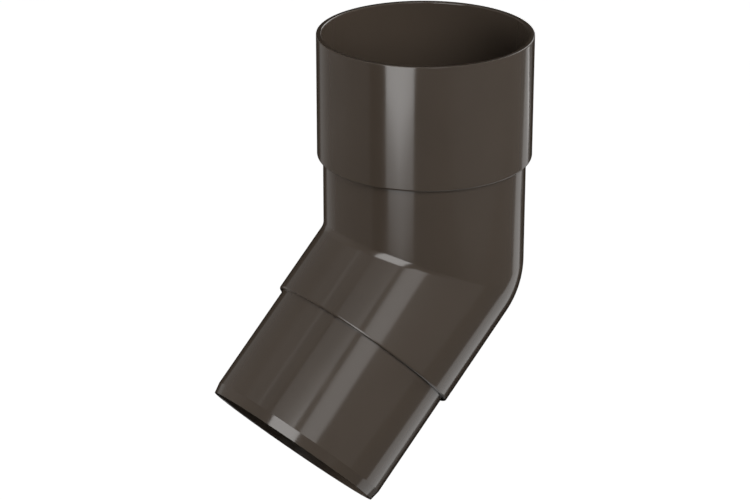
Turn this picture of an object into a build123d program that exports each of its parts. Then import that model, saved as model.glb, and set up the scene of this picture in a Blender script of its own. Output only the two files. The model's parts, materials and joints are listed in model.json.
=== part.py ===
from build123d import *
import os

# Downspout elbow, one plastic moulding: a socket above, a straight neck, a 45 degree bend and a spigot.
# Millimetres. The origin is the centre of the socket's mouth, +Z is up and the leg leans toward -X.

# The round pipe that the elbow joins, and the moulding's wall
PIPE_RADIUS = 41.0
WALL = 2.2

# Socket, which takes the pipe's end from above
PIPE_PLAY = 0.2
SOCKET_BORE_RADIUS = PIPE_RADIUS + PIPE_PLAY
SOCKET_RADIUS = SOCKET_BORE_RADIUS + WALL
SOCKET_HEIGHT = 51.0
SOCKET_DEPTH = SOCKET_HEIGHT - WALL

# Body, which is as wide outside as the pipe
BODY_RADIUS = PIPE_RADIUS
BODY_BORE_RADIUS = BODY_RADIUS - WALL

# Bend, where the two straight legs' axes meet
BEND_ANGLE = 45.0
MOUTH_TO_BEND = 95.4
CREASE_RADIUS = 5.0

# Leg below the bend, in distances along its own axis from the bend's centre
BEND_TO_STEP = 45.1
BEND_TO_END = 95.0

# Spigot, which slides into the next pipe, with a lead-in at its end
SPIGOT_RADIUS = 39.2
SPIGOT_BORE_RADIUS = SPIGOT_RADIUS - WALL
LEAD_IN_LENGTH = 4.3
LEAD_IN_DROP = 0.76
NECK_START = BEND_TO_STEP - 8.0
NECK_END = BEND_TO_STEP - 1.5

# Edges: rounded where they show, bevelled inside
MOUTH_OUTER_ROUND = 0.4
MOUTH_INNER_ROUND = 0.6
STEP_ROUND = 0.5
STOP_BEVEL = 0.8
END_BEVEL = 0.3

# How far the bore's cutter runs past both open ends
OVERRUN = 5.0
SAME_RADIUS = 0.01

BEND_CENTRE = Pos(0, 0, -MOUTH_TO_BEND)
LEG = BEND_CENTRE * Rot(0, 180 + BEND_ANGLE, 0)


def turned(stations):
    """A round solid about Z, from (radius, height) stations, closed on its axis."""
    first, last = stations[0], stations[-1]
    outline = Polyline((0, first[1]), *stations, (0, last[1]), close=True)
    return revolve(Plane.XZ * make_face(outline), axis=Axis.Z)


def bent(upper, lower, radius, crease):
    """Joins two round solids at the bend: a ball of their radius outside, a rounded crease inside."""
    joined = upper + LEG * lower + BEND_CENTRE * Sphere(radius)
    creases = joined.edges().filter_by(GeomType.ELLIPSE)
    return fillet(creases, crease)


def outer_form():
    """The elbow's outside, filled: socket, body, bend, step and spigot."""
    upper = turned([
        (SOCKET_RADIUS, 0),
        (SOCKET_RADIUS, -SOCKET_HEIGHT),
        (BODY_RADIUS, -SOCKET_HEIGHT),
        (BODY_RADIUS, -MOUTH_TO_BEND),
    ])
    lower = turned([
        (BODY_RADIUS, 0),
        (BODY_RADIUS, BEND_TO_STEP),
        (SPIGOT_RADIUS, BEND_TO_STEP),
        (SPIGOT_RADIUS, BEND_TO_END - LEAD_IN_LENGTH),
        (SPIGOT_RADIUS - LEAD_IN_DROP, BEND_TO_END),
    ])
    return bent(upper, lower, BODY_RADIUS, CREASE_RADIUS)


def water_way():
    """The hollow: pipe socket with its stop, body bore, bend, and the narrowing into the spigot."""
    upper = turned([
        (SOCKET_BORE_RADIUS, OVERRUN),
        (SOCKET_BORE_RADIUS, -SOCKET_DEPTH),
        (BODY_BORE_RADIUS, -SOCKET_DEPTH),
        (BODY_BORE_RADIUS, -MOUTH_TO_BEND),
    ])
    lower = turned([
        (BODY_BORE_RADIUS, 0),
        (BODY_BORE_RADIUS, NECK_START),
        (SPIGOT_BORE_RADIUS, NECK_END),
        (SPIGOT_BORE_RADIUS, BEND_TO_END + OVERRUN),
    ])
    return bent(upper, lower, BODY_BORE_RADIUS, CREASE_RADIUS + WALL)


def rings(shape, radius, centre):
    """The round edges of one radius about one point."""
    return [
        edge for edge in shape.edges().filter_by(GeomType.CIRCLE)
        if abs(edge.radius - radius) < SAME_RADIUS and (edge.arc_center - centre).length < SAME_RADIUS
    ]


def on_leg(distance):
    """The point on the leg's axis at a distance from the bend's centre."""
    return (LEG * Pos(0, 0, distance)).position


def elbow():
    """The whole moulding, hollow from mouth to end, with its edges rounded."""
    shape = outer_form() - water_way()
    mouth = Vector(0, 0, 0)
    below_socket = Vector(0, 0, -SOCKET_HEIGHT)
    stop = Vector(0, 0, -SOCKET_DEPTH)
    shape = fillet(rings(shape, SOCKET_RADIUS, mouth), MOUTH_OUTER_ROUND)
    shape = fillet(rings(shape, SOCKET_BORE_RADIUS, mouth), MOUTH_INNER_ROUND)
    shape = fillet(rings(shape, SOCKET_RADIUS, below_socket), STEP_ROUND)
    shape = fillet(rings(shape, BODY_RADIUS, on_leg(BEND_TO_STEP)), STEP_ROUND)
    shape = chamfer(rings(shape, BODY_BORE_RADIUS, stop), STOP_BEVEL)
    return chamfer(rings(shape, SPIGOT_BORE_RADIUS, on_leg(BEND_TO_END)), END_BEVEL)


def main():
    shape = elbow()
    shape.label = "elbow"
    os.makedirs("parts", exist_ok=True)
    export_step(shape, "parts/elbow.step")
    size = shape.bounding_box().size
    print(f"solids {len(shape.solids())}, valid {shape.is_valid}, volume {shape.volume:.0f} mm3")
    print(f"size {size.X:.1f} x {size.Y:.1f} x {size.Z:.1f} mm")


if __name__ == "__main__":
    main()
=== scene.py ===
import json
import math

import bmesh
import bpy
from mathutils import Matrix, Vector


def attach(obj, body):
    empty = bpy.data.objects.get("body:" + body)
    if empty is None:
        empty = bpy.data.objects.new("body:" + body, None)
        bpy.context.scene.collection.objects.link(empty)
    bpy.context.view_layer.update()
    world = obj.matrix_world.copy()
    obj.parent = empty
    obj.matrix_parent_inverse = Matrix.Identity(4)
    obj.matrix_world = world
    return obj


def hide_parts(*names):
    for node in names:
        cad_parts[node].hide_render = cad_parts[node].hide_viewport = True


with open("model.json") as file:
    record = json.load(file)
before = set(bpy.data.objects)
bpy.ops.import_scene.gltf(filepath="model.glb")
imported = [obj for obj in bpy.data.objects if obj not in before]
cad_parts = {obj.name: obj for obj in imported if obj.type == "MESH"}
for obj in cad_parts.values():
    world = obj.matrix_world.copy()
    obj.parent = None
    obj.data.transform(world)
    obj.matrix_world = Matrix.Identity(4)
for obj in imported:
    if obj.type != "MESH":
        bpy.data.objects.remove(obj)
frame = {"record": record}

bl_info = {
    "name": "Downspout Elbow",
    "version": (1, 0, 0),
    "blender": (4, 5, 0),
    "location": "View3D > Sidebar > Downspout",
    "description": "Models a moulded downspout elbow, its glossy brown plastic and the studio that lights it",
    "category": "Add Mesh",
}

# What the frame gives, in metres: the socket's bore, the spigot, and the place of the step above the spigot
MOUNTS = {mount["name"]: mount for mount in frame["record"]["mounts"]}
SOCKET_BORE = MOUNTS["socket"]["dims"]["r_mm"] / 1000
SPIGOT = MOUNTS["spigot"]["dims"]["r_mm"] / 1000
STEP_PLACE = Vector(MOUNTS["spigot"]["pos_m"])
LEG_DIRECTION = Vector(MOUNTS["spigot"]["axis"])

# The neck's axis and the leg's axis meet at the bend's centre
BEND_ANGLE = LEG_DIRECTION.angle(Vector((0, 0, -1)))
BEND_TO_STEP = STEP_PLACE.x / LEG_DIRECTION.x
BEND_CENTRE = STEP_PLACE - LEG_DIRECTION * BEND_TO_STEP
HALF_BEND = BEND_ANGLE / 2

# Points closer than this are one point
SAME_PLACE = 1e-6

# Faces across the rolled crease, and the sharpest turn between faces that is shaded smooth, in degrees
CREASE_STEPS = 8
SMOOTH_TURN = 9

# The plastic's gloss, cloud and ripple: waves per metre, how fine they get, and how far the cloud goes
PLASTIC_IOR = 1.5
CLOUD_SCALE = 45
CLOUD_DETAIL = 3
CLOUD_RANGE = (0.3, 0.7)
TINT_CHANGE = 0.03
POLISH_CHANGE = 0.15
RIPPLE_SCALE = 220
RIPPLE_DETAIL = 2


def size(name, default, description):
    """A size in metres, shown in the scene's own unit."""
    return bpy.props.FloatProperty(
        name=name, default=default, description=description, min=0, unit="LENGTH", precision=5
    )


class ElbowSizes(bpy.types.PropertyGroup):
    """The moulding's sizes."""

    wall: size("Wall", 0.0022, "Thickness of the moulding's wall")
    pipe_play: size("Pipe play", 0.0002, "Room round the pipe in the socket")
    socket_height: size("Socket height", 0.051, "From the mouth down to the socket's lower edge")
    mouth_outer_round: size("Mouth outer round", 0.0004, "Rounding of the mouth's outer edge")
    mouth_inner_round: size("Mouth inner round", 0.0006, "Rounding of the mouth's inner edge")
    step_round: size("Step round", 0.0009, "Rounding of the edges below the socket and above the spigot")
    stop_bevel: size("Stop bevel", 0.0008, "Bevel on the stop at the bottom of the socket")
    crease_round: size("Crease round", 0.005, "Rounding of the crease inside the bend")
    spigot_length: size("Spigot length", 0.0499, "From the step to the spigot's end")
    lead_in_length: size("Lead-in length", 0.0043, "Length of the taper at the spigot's end")
    lead_in_drop: size("Lead-in drop", 0.00076, "How much the taper takes off the spigot's radius")
    end_bevel: size("End bevel", 0.0003, "Bevel inside the spigot's end")
    neck_start: size("Neck start", 0.008, "Where the bore begins to narrow, above the step")
    neck_end: size("Neck end", 0.0015, "Where the bore is at its narrowest, above the step")
    sides: bpy.props.IntProperty(
        name="Sides", default=192, min=32, step=4, description="Sides of each ring, a multiple of four"
    )
    round_steps: bpy.props.IntProperty(
        name="Round steps", default=12, min=2, description="Faces across each small rounding"
    )


class PlasticFinish(bpy.types.PropertyGroup):
    """The plastic's colour and surface."""

    colour: bpy.props.FloatVectorProperty(
        name="Colour", subtype="COLOR", size=3, min=0, max=1, default=(0.052, 0.040, 0.0305),
        description="Dark brown of the plastic",
    )
    roughness: bpy.props.FloatProperty(
        name="Roughness", default=0.12, min=0, max=1, subtype="FACTOR",
        description="How far the gloss spreads",
    )
    ripple: size("Ripple", 0.000004, "Depth of the skin's slight ripple")


class StudioLight(bpy.types.PropertyGroup):
    """The studio's levels."""

    fill: bpy.props.FloatProperty(
        name="Fill", default=0.12, min=0, description="Strength of the even light from all round"
    )
    lamps: bpy.props.FloatProperty(
        name="Lamps", default=1.0, min=0, description="Strength of the three soft lamps"
    )
    room: bpy.props.FloatProperty(
        name="Room", default=0.2, min=0, description="Brightness of the grey room that the gloss mirrors"
    )
    floor_lift: bpy.props.FloatProperty(
        name="Floor lift", default=0.9, min=0, description="How much brighter the picture shows the floor"
    )


def only(*objects):
    """Selects these objects and nothing else, the first one active."""
    bpy.ops.object.select_all(action="DESELECT")
    for chosen in objects:
        chosen.select_set(True)
    bpy.context.view_layer.objects.active = objects[0]


def select_edges(piece, test):
    """In edit mode, selects the edges whose two ends both pass a test."""
    bpy.ops.mesh.select_mode(type="EDGE")
    bpy.ops.mesh.select_all(action="DESELECT")
    mesh = bmesh.from_edit_mesh(piece.data)
    for edge in mesh.edges:
        edge.select = all(test(vertex.co) for vertex in edge.verts)
    bmesh.update_edit_mesh(piece.data)


def select_faces(piece, test):
    """In edit mode, selects the faces whose middle passes a test."""
    bpy.ops.mesh.select_mode(type="FACE")
    bpy.ops.mesh.select_all(action="DESELECT")
    mesh = bmesh.from_edit_mesh(piece.data)
    for face in mesh.faces:
        face.select = test(face.calc_center_median())
    bmesh.update_edit_mesh(piece.data)


def rounded(centre, radius, start, steps):
    """Stations round a quarter circle that turns anticlockwise from its start, in degrees."""
    angles = [math.radians(start + 90 * step / steps) for step in range(steps + 1)]
    return [(centre[0] + radius * math.cos(a), centre[1] + radius * math.sin(a)) for a in angles]


def socket_profile(sizes):
    """Stations (radius, distance from the bend) of the upper half: up the outside, then down the bore."""
    body = SOCKET_BORE - sizes.pipe_play
    bore = body - sizes.wall
    outside = SOCKET_BORE + sizes.wall
    mouth = -BEND_CENTRE.z
    under = mouth - sizes.socket_height
    stop = under + sizes.wall
    step, outer, inner = sizes.step_round, sizes.mouth_outer_round, sizes.mouth_inner_round
    return [
        (body, 0),
        (body, under),
        *rounded((outside - step, under + step), step, -90, sizes.round_steps),
        *rounded((outside - outer, mouth - outer), outer, 0, sizes.round_steps),
        *rounded((SOCKET_BORE + inner, mouth - inner), inner, 90, sizes.round_steps),
        (SOCKET_BORE, stop),
        (bore + sizes.stop_bevel, stop),
        (bore, stop - sizes.stop_bevel),
        (bore, 0),
    ]


def spigot_profile(sizes):
    """Stations of the lower half: down the outside over the step and the lead-in, and back up the bore."""
    body = SOCKET_BORE - sizes.pipe_play
    narrow = SPIGOT - sizes.wall
    end = BEND_TO_STEP + sizes.spigot_length
    step = sizes.step_round
    return [
        (body, 0),
        *rounded((body - step, BEND_TO_STEP - step), step, 0, sizes.round_steps),
        (SPIGOT, BEND_TO_STEP),
        (SPIGOT, end - sizes.lead_in_length),
        (SPIGOT - sizes.lead_in_drop, end),
        (narrow + sizes.end_bevel, end),
        (narrow, end - sizes.end_bevel),
        (narrow, BEND_TO_STEP - sizes.neck_end),
        (body - sizes.wall, BEND_TO_STEP - sizes.neck_start),
        (body - sizes.wall, 0),
    ]


def turned_half(name, stations, sides):
    """A ring drawn out through the stations, with the bend's centre at the origin and the crease toward -X.

    Its two walls end on the mitre: the crease side is cut there, and the far side is spun on as a ball.
    """
    radius, height = stations[0]
    bpy.ops.object.select_all(action="DESELECT")
    bpy.ops.mesh.primitive_circle_add(vertices=sides, radius=radius, fill_type="NOTHING")
    half = bpy.context.object
    half.name = name
    bpy.ops.object.mode_set(mode="EDIT")
    bpy.ops.mesh.select_all(action="SELECT")
    for next_radius, next_height in stations[1:]:
        bpy.ops.mesh.extrude_edges_move(TRANSFORM_OT_translate={"value": (0, 0, next_height - height)})
        growth = next_radius / radius
        bpy.ops.transform.resize(value=(growth, growth, 1))
        radius, height = next_radius, next_height

    mitre = (math.sin(HALF_BEND), 0, math.cos(HALF_BEND))
    select_faces(half, lambda middle: middle.x < 0)
    bpy.ops.mesh.bisect(plane_co=(0, 0, 0), plane_no=mitre, clear_inner=True, threshold=SAME_PLACE)
    select_edges(half, lambda place: abs(place.z) < SAME_PLACE and place.x > -SAME_PLACE)
    ball_steps = round(sides * HALF_BEND / math.tau)
    bpy.ops.mesh.spin(steps=ball_steps, angle=HALF_BEND, center=(0, 0, 0), axis=(0, -1, 0))
    bpy.ops.mesh.select_all(action="SELECT")
    bpy.ops.mesh.remove_doubles(threshold=SAME_PLACE)
    bpy.ops.object.mode_set(mode="OBJECT")
    return half


def round_creases(piece, sizes):
    """Rolls the bend's two creases, outside and in the bore, each to one radius along its whole length."""
    outside = SOCKET_BORE - sizes.pipe_play
    tightest = sizes.crease_round
    widest = sizes.crease_round + sizes.wall
    mitre = Vector((math.sin(HALF_BEND), 0, math.cos(HALF_BEND)))
    mesh = bmesh.new()
    mesh.from_mesh(piece.data)
    weight = mesh.edges.layers.float.new("bevel_weight_edge")
    for edge in mesh.edges:
        places = [vertex.co - BEND_CENTRE for vertex in edge.verts]
        middle = (places[0] + places[1]) / 2
        if middle.x < 0 and all(abs(place.dot(mitre)) < SAME_PLACE for place in places):
            around = math.hypot(middle.x, middle.y)
            turn = math.asin(math.sin(HALF_BEND) * -middle.x / around)
            radius = tightest if around > outside - sizes.wall / 2 else widest
            edge[weight] = radius * math.tan(turn) / (widest * math.tan(HALF_BEND))
    mesh.to_mesh(piece.data)
    mesh.free()
    only(piece)
    bpy.ops.object.modifier_add(type="BEVEL")
    bevel = piece.modifiers[-1]
    bevel.limit_method = "WEIGHT"
    bevel.offset_type = "OFFSET"
    bevel.width = widest * math.tan(HALF_BEND)
    bevel.segments = CREASE_STEPS
    bevel.use_clamp_overlap = False
    bpy.ops.object.modifier_apply(modifier=bevel.name)


def smooth_rounds(piece):
    """Smooth shading over every rounding, with the lead-in, the bevels and the steps' corners left sharp."""
    only(piece)
    bpy.ops.object.shade_smooth_by_angle(angle=math.radians(SMOOTH_TURN))
    bpy.ops.object.modifier_add(type="WEIGHTED_NORMAL")
    normals = piece.modifiers[-1]
    normals.keep_sharp = True
    bpy.ops.object.modifier_apply(modifier=normals.name)


def brown_plastic(finish):
    """Moulded plastic: an even dark brown with a faint cloud, and a polished skin with a slight ripple."""
    material = bpy.data.materials.new("brown_plastic")
    material.use_nodes = True
    nodes, links = material.node_tree.nodes, material.node_tree.links
    shader = nodes["Principled BSDF"]
    shader.inputs["IOR"].default_value = PLASTIC_IOR
    place = nodes.new("ShaderNodeTexCoord")

    cloud = nodes.new("ShaderNodeTexNoise")
    cloud.inputs["Scale"].default_value = CLOUD_SCALE
    cloud.inputs["Detail"].default_value = CLOUD_DETAIL
    tint = nodes.new("ShaderNodeValToRGB")
    darker, lighter = tint.color_ramp.elements
    darker.position, lighter.position = CLOUD_RANGE
    darker.color = (*[channel * (1 - TINT_CHANGE) for channel in finish.colour], 1)
    lighter.color = (*[channel * (1 + TINT_CHANGE) for channel in finish.colour], 1)
    links.new(place.outputs["Object"], cloud.inputs["Vector"])
    links.new(cloud.outputs["Fac"], tint.inputs["Fac"])
    links.new(tint.outputs["Color"], shader.inputs["Base Color"])

    polish = nodes.new("ShaderNodeMapRange")
    polish.inputs["From Min"].default_value, polish.inputs["From Max"].default_value = CLOUD_RANGE
    polish.inputs["To Min"].default_value = finish.roughness * (1 - POLISH_CHANGE)
    polish.inputs["To Max"].default_value = finish.roughness * (1 + POLISH_CHANGE)
    links.new(cloud.outputs["Fac"], polish.inputs["Value"])
    links.new(polish.outputs["Result"], shader.inputs["Roughness"])

    ripple = nodes.new("ShaderNodeTexNoise")
    ripple.inputs["Scale"].default_value = RIPPLE_SCALE
    ripple.inputs["Detail"].default_value = RIPPLE_DETAIL
    bump = nodes.new("ShaderNodeBump")
    bump.inputs["Distance"].default_value = finish.ripple
    links.new(place.outputs["Object"], ripple.inputs["Vector"])
    links.new(ripple.outputs["Fac"], bump.inputs["Height"])
    links.new(bump.outputs["Normal"], shader.inputs["Normal"])
    return material


class DOWNSPOUT_OT_elbow(bpy.types.Operator):
    """Models the elbow as two turned halves joined at the mitre, with rolled creases and its plastic"""

    bl_idname = "downspout.elbow"
    bl_label = "Elbow"

    def execute(self, context):
        sizes = context.scene.downspout_sizes
        elbow = turned_half("elbow_moulding", socket_profile(sizes), sizes.sides)
        leg = turned_half("leg", spigot_profile(sizes), sizes.sides)
        elbow.location = BEND_CENTRE
        down_the_leg = Matrix.Rotation(math.pi + BEND_ANGLE, 4, "Y") @ Matrix.Rotation(math.pi, 4, "Z")
        leg.matrix_world = Matrix.Translation(BEND_CENTRE) @ down_the_leg
        only(elbow, leg)
        bpy.ops.object.transform_apply(location=True, rotation=True, scale=True)
        bpy.ops.object.join()
        bpy.ops.object.mode_set(mode="EDIT")
        bpy.ops.mesh.select_all(action="SELECT")
        bpy.ops.mesh.remove_doubles(threshold=SAME_PLACE)
        bpy.ops.mesh.normals_make_consistent(inside=False)
        bpy.ops.object.mode_set(mode="OBJECT")
        round_creases(elbow, sizes)
        smooth_rounds(elbow)
        elbow.data.materials.append(brown_plastic(context.scene.downspout_finish))
        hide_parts("elbow")
        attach(elbow, "root")
        return {"FINISHED"}


# The camera, in metres, degrees and millimetres, from the photograph's own outline
CAMERA_PLACE = Vector((-0.59485, -0.74553, 0.30556))
CAMERA_TILT = 67.299
CAMERA_HEADING = -37.386
CAMERA_LENS = 120.885
CAMERA_SENSOR = 36
CAMERA_NEAREST = 0.01

# The floor below the elbow and the round grey room, in metres
FLOOR_DEPTH = 2.5
FLOOR_SIZE = 30
FLOOR_GREY = 0.9
ROOM_RADIUS = 2.4
ROOM_SIDES = 48

# How bright the room is from its floor (0) to its ceiling (1), in multiples of the room's level
ROOM_GLOW = ((0.12, 4), (0.18, 0.55), (0.375, 0.55), (0.4, 0.85), (0.8, 1.1), (0.88, 2.5))

# Lamps and cards stand at (camera's right, away from the camera, up), in metres from the bend's centre.
# The soft lamps light the plastic itself: in front on the right, on the left, and behind on the right.
LAMP_SIZE = 0.97
LAMPS = (
    {"name": "front_lamp", "place": (0.528, -1.187, 0.75), "brightness": 8.3},
    {"name": "left_lamp", "place": (-1.449, 0.388, 0), "brightness": 9.2},
    {"name": "right_lamp", "place": (1.279, 0.739, 0.26), "brightness": 5.6},
)

# The cards are what the gloss mirrors. A card's levels are (how far along the card, brightness), 0 for black.
CARDS = (
    # In front on the left: a tall softbox that leans in, a black flag beside it and a second softbox above
    {
        "name": "front_softbox", "start": (-0.762, -1.496, -0.715), "end": (-0.39, -0.763, 1.372),
        "width": 0.86, "end_width": 0.72, "droop": 0.045,
        "levels": (
            (0.01, 0.3), (0.03, 1.5), (0.075, 1.5), (0.108, 5.3), (0.65, 5.4),
            (0.72, 1.4), (0.76, 1.15), (0.8, 0.75), (0.84, 0.7), (0.9, 0.45),
        ),
    },
    {
        "name": "front_flag", "start": (-0.958, -0.722, -0.9), "end": (-0.958, -0.722, 0),
        "width": 0.3, "levels": ((0, 0),),
    },
    {
        "name": "top_softbox", "start": (0.278, -1.43, 0.36), "end": (0.196, -0.98, 1.11),
        "width": 0.45, "levels": ((0, 1.9),),
    },
    # On the left: a grey wall high up, a narrow strip that slants down from it, and a low wall farther back
    {
        "name": "left_wall", "start": (-0.979, 0.565, 1.13), "end": (-0.926, -0.648, 1.13),
        "width": 0.9, "levels": ((0, 0.18), (0.35, 0.37), (0.75, 0.37), (1, 0.3)),
    },
    {
        "name": "left_strip", "start": (-0.811, 0, 1.202), "end": (-1.158, -0.516, 0.703),
        "width": 0.1, "levels": ((0, 0.65),),
    },
    {
        "name": "low_wall", "start": (-0.888, 1.312, -0.5), "end": (-1.357, 0.848, -0.5),
        "width": 0.8, "levels": ((0, 0.3), (0.4, 0.29), (1, 0.17)),
    },
    # Behind on the right: a long low softbox that runs away from the elbow, and one higher up
    {
        "name": "low_softbox", "start": (0.31, -0.046, -0.6), "end": (1.504, 1.633, -0.6),
        "width": 0.36, "end_width": 0.5,
        "levels": ((0.05, 0.85), (0.25, 0.95), (0.6, 0.85), (0.82, 0.8), (0.88, 0.9), (0.96, 1.9)),
    },
    {
        "name": "back_softbox", "start": (0.61, 1.37, 0.546), "end": (0.61, 1.37, 1.35),
        "width": 0.804, "levels": ((0, 3),),
    },
    # Black cloths behind the elbow, which darken the gloss at its edges
    {
        "name": "low_cloth", "start": (-0.01, 1.45, -1.5), "end": (-0.01, 1.45, 0.05),
        "width": 1.74, "levels": ((0, 0),),
    },
    {
        "name": "side_cloth", "start": (1.08, 1.45, -1.5), "end": (1.08, 1.45, -0.67),
        "width": 0.46, "levels": ((0, 0),),
    },
    {
        "name": "high_cloth", "start": (-0.22, 1.38, 0.05), "end": (-0.22, 1.38, 1.3),
        "width": 0.84, "levels": ((0, 0),),
    },
    # A pale wall on the right, dimmer at both ends
    {
        "name": "pale_wall", "start": (0.547, -1.503, 0.105), "end": (1.584, 0.222, 0.105),
        "width": 1.28, "levels": ((0, 0.19), (0.25, 0.28), (0.6, 0.27), (1, 0.18)),
    },
)


def for_gloss_only(thing):
    """Lets the plastic's gloss mirror a thing that the picture and the even light don't see."""
    thing.visible_camera = False
    thing.visible_diffuse = False
    thing.visible_shadow = False


def glow(name, levels, droop=0):
    """An even glow, or one that changes from a card's start (0) to its end (1).

    The droop is how much later the glow changes at the card's sides than along its middle.
    """
    material = bpy.data.materials.new(name)
    material.use_nodes = True
    nodes, links = material.node_tree.nodes, material.node_tree.links
    nodes.clear()
    output = nodes.new("ShaderNodeOutputMaterial")
    light = nodes.new("ShaderNodeEmission")
    links.new(light.outputs["Emission"], output.inputs["Surface"])
    brightest = max(level for _, level in levels)
    light.inputs["Strength"].default_value = brightest
    if len(levels) == 1:
        return material
    place = nodes.new("ShaderNodeTexCoord")
    across_and_along = nodes.new("ShaderNodeSeparateXYZ")
    middle = 0.5
    off_middle = nodes.new("ShaderNodeMath")
    off_middle.operation = "SUBTRACT"
    off_middle.inputs[1].default_value = middle
    side = nodes.new("ShaderNodeMath")
    side.operation = "ABSOLUTE"
    later = nodes.new("ShaderNodeMath")
    later.operation = "MULTIPLY_ADD"
    later.inputs[1].default_value = -droop
    ramp = nodes.new("ShaderNodeValToRGB")
    stops = ramp.color_ramp.elements
    while len(stops) < len(levels):
        stops.new(1)
    for stop, (position, level) in zip(stops, levels):
        stop.position = position
        stop.color = (*[level / brightest] * 3, 1)
    links.new(place.outputs["UV"], across_and_along.inputs["Vector"])
    links.new(across_and_along.outputs["X"], off_middle.inputs[0])
    links.new(off_middle.outputs[0], side.inputs[0])
    links.new(side.outputs[0], later.inputs[0])
    links.new(across_and_along.outputs["Y"], later.inputs[2])
    links.new(later.outputs[0], ramp.inputs["Fac"])
    links.new(ramp.outputs["Color"], light.inputs["Color"])
    return material


def in_the_studio():
    """The matrix from (camera's right, away from the camera, up), off the bend's centre, to the scene."""
    return Matrix.Translation(BEND_CENTRE) @ Matrix.Rotation(math.radians(CAMERA_HEADING), 4, "Z")


def soft_lamp(name, place, brightness):
    """A broad square lamp that faces the elbow and lights it evenly, without showing in its gloss."""
    bpy.ops.object.light_add(type="AREA")
    lamp = bpy.context.object
    lamp.name = name
    lamp.data.size = LAMP_SIZE
    lamp.data.energy = brightness * math.pi * LAMP_SIZE**2
    lamp.visible_camera = False
    lamp.visible_glossy = False
    toward_the_lamp = Vector(place).to_track_quat("Z", "Y").to_matrix().to_4x4()
    lamp.matrix_world = in_the_studio() @ Matrix.Translation(place) @ toward_the_lamp


def card(name, start, end, width, levels, end_width=None, droop=0):
    """A glowing or black card along a line from start to end, flat to the elbow.

    It keeps its width all along, unless it has another width at its end.
    """
    start, end = Vector(start), Vector(end)
    middle = (start + end) / 2
    along = end - start
    across = along.cross(middle).normalized() * width
    outward = across.cross(along).normalized()
    turn = Matrix((across, along, outward)).transposed().to_4x4()
    bpy.ops.object.select_all(action="DESELECT")
    bpy.ops.mesh.primitive_plane_add(size=1)
    board = bpy.context.object
    board.name = name
    if end_width:
        for corner in board.data.vertices:
            corner.co.x *= end_width / width if corner.co.y > 0 else 1
    board.matrix_world = in_the_studio() @ Matrix.Translation(middle) @ turn
    bpy.ops.object.transform_apply(location=True, rotation=True, scale=True)
    board.data.materials.append(glow(name, levels, droop))
    for_gloss_only(board)


def seen_as_white(nodes, links):
    """1 for the rays of the picture, gloss and glass, and 0 for the rest."""
    path = nodes.new("ShaderNodeLightPath")
    total = path.outputs["Is Camera Ray"]
    for ray in ("Is Glossy Ray", "Is Transmission Ray"):
        either = nodes.new("ShaderNodeMath")
        either.operation = "MAXIMUM"
        links.new(total, either.inputs[0])
        links.new(path.outputs[ray], either.inputs[1])
        total = either.outputs[0]
    return total


def studio_air(levels):
    """A world of even light, which the picture sees as white."""
    world = bpy.data.worlds.new("studio_air")
    world.use_nodes = True
    nodes, links = world.node_tree.nodes, world.node_tree.links
    white = nodes["Background"]
    strength = nodes.new("ShaderNodeMapRange")
    strength.inputs["To Min"].default_value = levels.fill
    strength.inputs["To Max"].default_value = 1
    white.inputs["Color"].default_value = (1, 1, 1, 1)
    links.new(seen_as_white(nodes, links), strength.inputs["Value"])
    links.new(strength.outputs["Result"], white.inputs["Strength"])
    return world


def pale_floor(levels):
    """A matt pale floor, lifted to white in the picture where no shadow falls."""
    material = bpy.data.materials.new("pale_floor")
    material.use_nodes = True
    nodes, links = material.node_tree.nodes, material.node_tree.links
    nodes.clear()
    output = nodes.new("ShaderNodeOutputMaterial")
    matt = nodes.new("ShaderNodeBsdfDiffuse")
    matt.inputs["Color"].default_value = (FLOOR_GREY, FLOOR_GREY, FLOOR_GREY, 1)
    lift = nodes.new("ShaderNodeEmission")
    both = nodes.new("ShaderNodeAddShader")
    amount = nodes.new("ShaderNodeMath")
    amount.operation = "MULTIPLY"
    amount.inputs[1].default_value = levels.floor_lift
    links.new(seen_as_white(nodes, links), amount.inputs[0])
    links.new(amount.outputs[0], lift.inputs["Strength"])
    links.new(matt.outputs["BSDF"], both.inputs[0])
    links.new(lift.outputs["Emission"], both.inputs[1])
    links.new(both.outputs["Shader"], output.inputs["Surface"])
    return material


def studio_camera():
    """The camera at the photograph's viewing angle."""
    bpy.ops.object.camera_add(location=CAMERA_PLACE)
    camera = bpy.context.object
    camera.rotation_euler = (math.radians(CAMERA_TILT), 0, math.radians(CAMERA_HEADING))
    camera.data.lens = CAMERA_LENS
    camera.data.sensor_width = CAMERA_SENSOR
    camera.data.clip_start = CAMERA_NEAREST
    return camera


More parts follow.
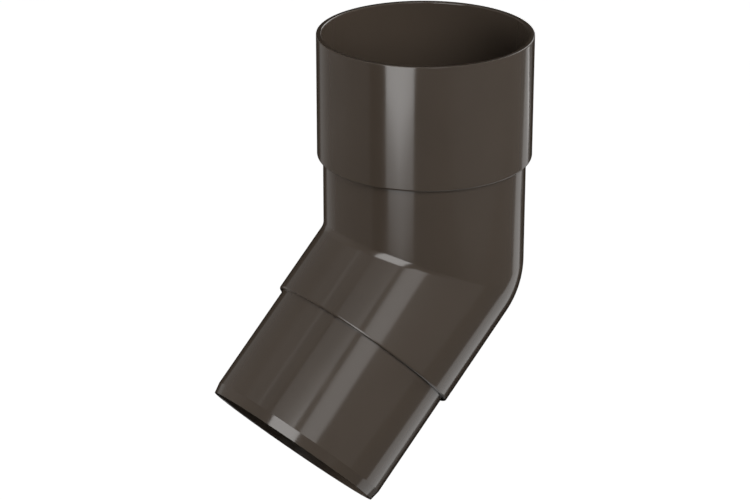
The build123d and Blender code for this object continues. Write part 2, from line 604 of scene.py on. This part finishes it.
def floor_and_room(levels):
    """The pale floor far below the elbow, and the grey room that the gloss mirrors all round it."""
    bpy.ops.mesh.primitive_plane_add(size=FLOOR_SIZE, location=(0, 0, BEND_CENTRE.z - FLOOR_DEPTH))
    floor = bpy.context.object
    floor.name = "floor"
    floor.data.materials.append(pale_floor(levels))

    bpy.ops.mesh.primitive_uv_sphere_add(
        segments=ROOM_SIDES, ring_count=ROOM_SIDES // 2, radius=ROOM_RADIUS, location=BEND_CENTRE
    )
    room = bpy.context.object
    room.name = "grey_room"
    room.data.materials.append(glow("grey_room", [(up, level * levels.room) for up, level in ROOM_GLOW]))
    for_gloss_only(room)


class DOWNSPOUT_OT_studio(bpy.types.Operator):
    """Sets up the camera, white background, floor and soft lamps, and the room and cards in the gloss"""

    bl_idname = "downspout.studio"
    bl_label = "Studio"

    def execute(self, context):
        scene = context.scene
        levels = scene.downspout_light
        scene.view_settings.view_transform = "Standard"
        scene.camera = studio_camera()
        scene.world = studio_air(levels)
        floor_and_room(levels)
        for lamp in LAMPS:
            soft_lamp(lamp["name"], lamp["place"], lamp["brightness"] * levels.lamps)
        for each in CARDS:
            card(**each)
        return {"FINISHED"}


class DOWNSPOUT_PT_panel(bpy.types.Panel):
    """Lists the elbow's operators and their values."""

    bl_idname = "DOWNSPOUT_PT_panel"
    bl_label = "Downspout Elbow"
    bl_space_type = "VIEW_3D"
    bl_region_type = "UI"
    bl_category = "Downspout"

    def draw(self, context):
        layout = self.layout
        for group in ("downspout_sizes", "downspout_finish", "downspout_light"):
            values = getattr(context.scene, group)
            for name in values.bl_rna.properties.keys():
                if name not in ("rna_type", "name"):
                    layout.prop(values, name)
        layout.operator(DOWNSPOUT_OT_elbow.bl_idname)
        layout.operator(DOWNSPOUT_OT_studio.bl_idname)


CLASSES = (
    ElbowSizes,
    PlasticFinish,
    StudioLight,
    DOWNSPOUT_OT_elbow,
    DOWNSPOUT_OT_studio,
    DOWNSPOUT_PT_panel,
)


def register():
    for each in CLASSES:
        bpy.utils.register_class(each)
    bpy.types.Scene.downspout_sizes = bpy.props.PointerProperty(type=ElbowSizes)
    bpy.types.Scene.downspout_finish = bpy.props.PointerProperty(type=PlasticFinish)
    bpy.types.Scene.downspout_light = bpy.props.PointerProperty(type=StudioLight)


def unregister():
    del bpy.types.Scene.downspout_light
    del bpy.types.Scene.downspout_finish
    del bpy.types.Scene.downspout_sizes
    for each in reversed(CLASSES):
        bpy.utils.unregister_class(each)


def main():
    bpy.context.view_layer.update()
    register()
    bpy.ops.downspout.elbow()
    bpy.ops.downspout.studio()


if __name__ == "__main__":
    main()
